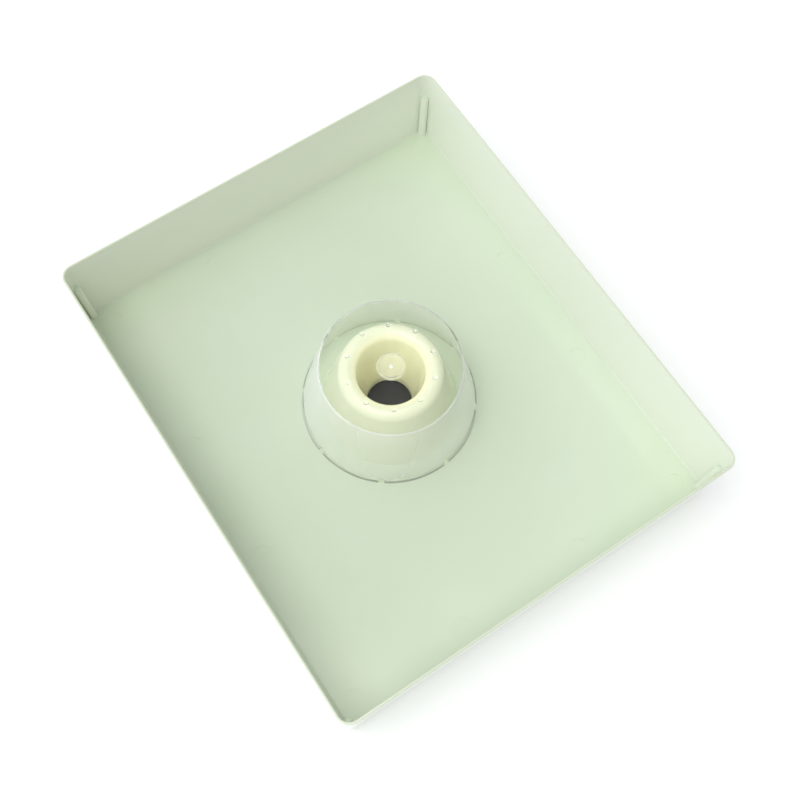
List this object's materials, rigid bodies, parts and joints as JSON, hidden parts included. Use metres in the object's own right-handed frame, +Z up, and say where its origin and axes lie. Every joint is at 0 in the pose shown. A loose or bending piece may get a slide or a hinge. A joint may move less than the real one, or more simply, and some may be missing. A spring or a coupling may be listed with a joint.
{
  "type": "hive-top syrup feeder",
  "caption": "Shallow rectangular tray with a central funnel-shaped chimney and a clear lift-off cap over it, for feeding syrup on top of a beehive.",
  "frame": {"origin": "centre of the tray's footprint, on the surface that its skirt rests on", "axes": "+X along the tray's long side, +Y along its short side, +Z up"},
  "size_m": [0.5, 0.422, 0.1],
  "materials": {
    "tray_plastic": "semi-gloss, slightly translucent",
    "chimney_plastic": "semi-gloss",
    "clear_plastic": "clear, polished"
  },
  "bodies": {
    "tray": {"tray": "tray_plastic", "chimney": "chimney_plastic"},
    "cap": {"cap": "clear_plastic"}
  },
  "joints": [
    {"name": "cap_lift", "type": "slide", "parent": "tray", "child": "cap", "axis": [0, 0, 1], "range_m": [0, 0.12]}
  ]
}
